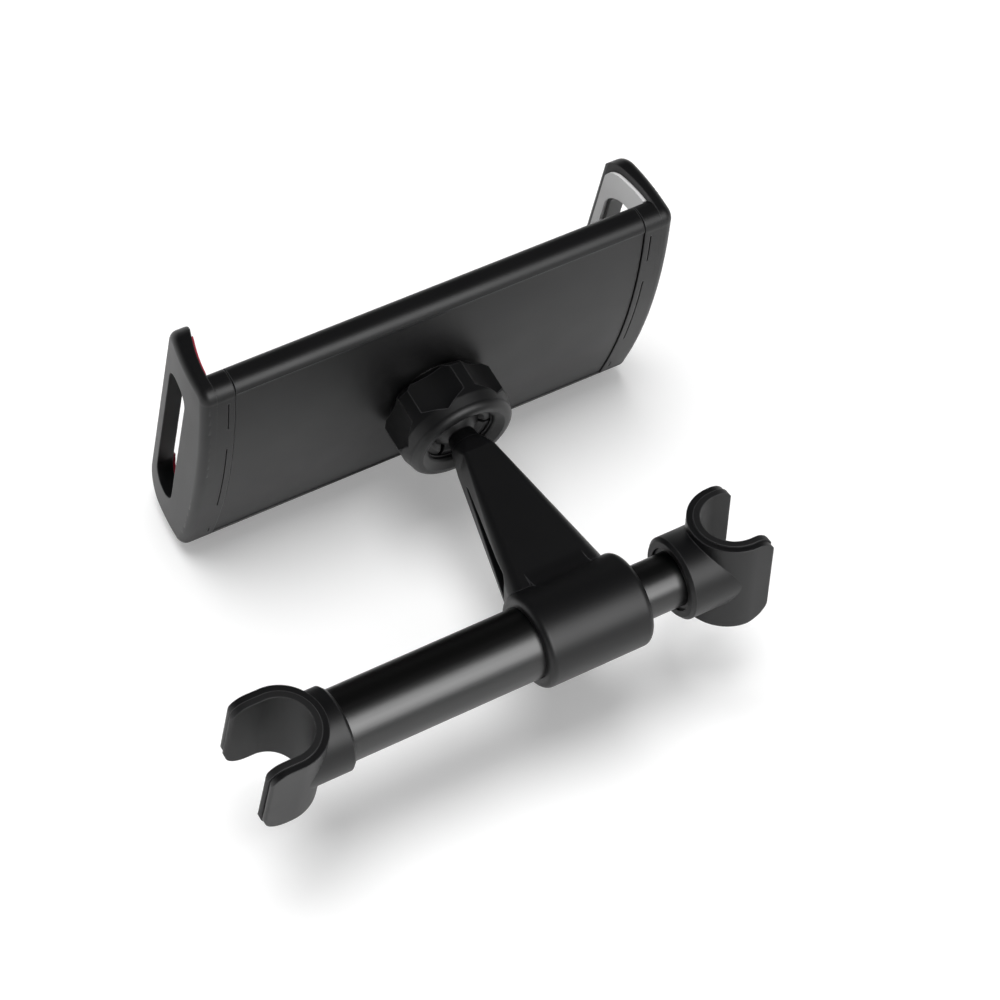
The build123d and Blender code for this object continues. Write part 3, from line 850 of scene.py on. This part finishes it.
class TABMOUNT_OT_springs(bpy.types.Operator):
    """Wind the jaw springs and the bar's push spring"""
    bl_idname = "tabmount.springs"
    bl_label = "Springs"

    def execute(self, context):
        springs = context.scene.tabmount_springs
        steel = drawn_metal(
            "spring_steel",
            colour=(0.42, 0.42, 0.43),
            # A highlight painted along the springs' wire
            edge_highlight_colour=(0.6, 0.6, 0.6),
            rough=0.25,
            line_depth=0.002 * MM,
        )
        jaw_wind = (springs.jaw_wire, springs.jaw_turns)
        bar_wind = (springs.bar_wire, springs.bar_turns)
        plan = (
            ("left_jaw_spring", "left_jaw_coil", jaw_wind, -1, "holder", "left_jaw"),
            ("right_jaw_spring", "right_jaw_coil", jaw_wind, 1, "holder", "right_jaw"),
            ("bar_spring", "bar_coil", bar_wind, 1, "bar", "slider"),
        )
        for node, name, (wire, turns), side, held, moving in plan:
            low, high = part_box(node)
            middle = (low + high) / 2
            radius = (high.z - low.z) / 2
            ends = [Vector((low.x, middle.y, middle.z)), Vector((high.x, middle.y, middle.z))]
            if side < 0:
                ends.reverse()
            piece = coil(name, ends[0], ends[1], radius, wire, turns)
            piece.data.materials.append(steel)
            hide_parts(node)
            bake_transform(piece)
        return {"FINISHED"}


# Stage

def aim(lamp, place, target):
    """Put a lamp at a place and turn it to a point."""
    lamp.location = place
    lamp.rotation_mode = "QUATERNION"
    lamp.rotation_quaternion = (target - place).to_track_quat("-Z", "Y")


def shine_panel(name, place, target, width, power):
    """A soft square panel that shows as a highlight and adds nothing to matt surfaces."""
    light = bpy.data.lights.new(name, "AREA")
    light.size = width
    light.energy = power
    lamp = new_object(name, light)
    lamp.visible_diffuse = False
    aim(lamp, place, target)


def top_light(name, place, target, angle, strength):
    """A far lamp as wide as a ceiling panel, even over the whole floor, without a highlight."""
    light = bpy.data.lights.new(name, "SUN")
    light.angle = angle
    light.energy = strength
    lamp = new_object(name, light)
    lamp.visible_glossy = False
    aim(lamp, place, target)


def floor_material():
    """A white floor that keeps the soft shadow, a little lifted where it is seen or mirrored."""
    material, tree, shader = start_material("pale_floor")
    shader.inputs["Base Color"].default_value = FLOOR_WHITE
    shader.inputs["Roughness"].default_value = 1.0
    shader.inputs["Specular IOR Level"].default_value = 0.0
    shader.inputs["Emission Color"].default_value = PURE_WHITE
    rays = add(tree, "ShaderNodeLightPath")
    seen = maths(tree, "MAXIMUM", rays.outputs["Is Camera Ray"], rays.outputs["Is Glossy Ray"])
    lift = maths(tree, "MULTIPLY", seen, FLOOR_LIFT)
    tree.links.new(lift, shader.inputs["Emission Strength"])
    return material


def make_floor(level):
    """A wide flat floor."""
    half = FLOOR_HALF_WIDTH
    data = bpy.data.meshes.new("floor")
    corners = [(-half, -half, level), (half, -half, level), (half, half, level), (-half, half, level)]
    data.from_pydata(corners, [], [(0, 1, 2, 3)])
    data.materials.append(floor_material())
    floor = new_object("floor", data)
    floor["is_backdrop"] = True


def make_world(matt, overhead, wall_foot):
    """Even light on matt surfaces, a pale wall under a dark ceiling in the mirror, white for the camera."""
    world = bpy.data.worlds.new("studio")
    bpy.context.scene.world = world
    world.use_nodes = True
    tree = world.node_tree
    background = tree.nodes["Background"]
    background.inputs["Color"].default_value = PURE_WHITE
    rays = add(tree, "ShaderNodeLightPath")
    direction = add(tree, "ShaderNodeTexCoord")
    parts = add(tree, "ShaderNodeSeparateXYZ")
    tree.links.new(direction.outputs["Generated"], parts.inputs["Vector"])
    wall = add(tree, "ShaderNodeMapRange", interpolation_type="SMOOTHSTEP")
    wall.inputs["From Min"].default_value = 0.0
    wall.inputs["From Max"].default_value = WALL_TOP
    wall.inputs["To Min"].default_value = wall_foot
    wall.inputs["To Max"].default_value = overhead
    tree.links.new(parts.outputs["Z"], wall.inputs["Value"])
    level = add(tree, "ShaderNodeMix", data_type="FLOAT")
    level.inputs["A"].default_value = matt
    tree.links.new(rays.outputs["Is Glossy Ray"], level.inputs["Factor"])
    tree.links.new(wall.outputs["Result"], level.inputs["B"])
    seen = maths(tree, "MAXIMUM", level.outputs["Result"], rays.outputs["Is Camera Ray"])
    tree.links.new(seen, background.inputs["Strength"])


def make_camera():
    """The camera at the photograph's place and angle."""
    data = bpy.data.cameras.new("camera")
    data.sensor_width = SENSOR_WIDTH
    data.lens = CAMERA_LENS
    data.clip_start = 0.01
    data.clip_end = 20.0
    camera = new_object("camera", data)
    turn = Matrix((CAMERA_RIGHT, CAMERA_UP, CAMERA_BACK)).transposed().to_4x4()
    camera.matrix_world = Matrix.Translation(CAMERA_PLACE) @ turn
    bpy.context.scene.camera = camera


class TABMOUNT_OT_stage(bpy.types.Operator):
    """Set up the floor, the lights and the camera"""
    bl_idname = "tabmount.stage"
    bl_label = "Stage"

    def execute(self, context):
        stage = context.scene.tabmount_stage
        low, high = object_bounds()
        middle = (low + high) / 2
        make_floor(low.z - stage.floor_drop)
        make_world(stage.sky, stage.dark_above, stage.wall_glow)
        top_light("top_light", middle + TOP_LIGHT_FROM, middle, TOP_LIGHT_ANGLE, stage.top_strength)
        shine_panel("front_panel", middle + FRONT_PANEL_FROM, middle, FRONT_PANEL_WIDTH, stage.shine_power)
        make_camera()
        context.scene.view_settings.view_transform = "Standard"
        return {"FINISHED"}


# Sidebar and registration

class TABMOUNT_PT_panel(bpy.types.Panel):
    """Buttons and values of the tablet mount"""
    bl_idname = "TABMOUNT_PT_panel"
    bl_label = "Tablet Mount"
    bl_space_type = "VIEW_3D"
    bl_region_type = "UI"
    bl_category = "Tablet Mount"

    def draw(self, context):
        layout = self.layout
        for settings in (
            context.scene.tabmount_finish,
            context.scene.tabmount_jaws,
            context.scene.tabmount_springs,
            context.scene.tabmount_stage,
        ):
            box = layout.box()
            for name in settings.bl_rna.properties.keys():
                if name not in ("rna_type", "name"):
                    box.prop(settings, name)
        for operator in OPERATORS:
            layout.operator(operator.bl_idname)


OPERATORS = (
    TABMOUNT_OT_plastic,
    TABMOUNT_OT_tubes,
    TABMOUNT_OT_liners,
    TABMOUNT_OT_jaws,
    TABMOUNT_OT_bearings,
    TABMOUNT_OT_screws,
    TABMOUNT_OT_springs,
    TABMOUNT_OT_stage,
)
CLASSES = (
    TABMOUNT_PG_finish,
    TABMOUNT_PG_jaws,
    TABMOUNT_PG_springs,
    TABMOUNT_PG_stage,
    *OPERATORS,
    TABMOUNT_PT_panel,
)


def register():
    """Add the classes to Blender and their values to the scene."""
    for cls in CLASSES:
        bpy.utils.register_class(cls)
    bpy.types.Scene.tabmount_finish = bpy.props.PointerProperty(type=TABMOUNT_PG_finish)
    bpy.types.Scene.tabmount_jaws = bpy.props.PointerProperty(type=TABMOUNT_PG_jaws)
    bpy.types.Scene.tabmount_springs = bpy.props.PointerProperty(type=TABMOUNT_PG_springs)
    bpy.types.Scene.tabmount_stage = bpy.props.PointerProperty(type=TABMOUNT_PG_stage)


def unregister():
    """Take the values and the classes out again."""
    del bpy.types.Scene.tabmount_stage
    del bpy.types.Scene.tabmount_springs
    del bpy.types.Scene.tabmount_jaws
    del bpy.types.Scene.tabmount_finish
    for cls in reversed(CLASSES):
        bpy.utils.unregister_class(cls)


def main():
    """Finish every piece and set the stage."""
    register()
    bpy.ops.tabmount.plastic()
    bpy.ops.tabmount.tubes()
    bpy.ops.tabmount.liners()
    bpy.ops.tabmount.jaws()
    bpy.ops.tabmount.bearings()
    bpy.ops.tabmount.screws()
    bpy.ops.tabmount.springs()
    bpy.ops.tabmount.stage()


if __name__ == "__main__":
    main()
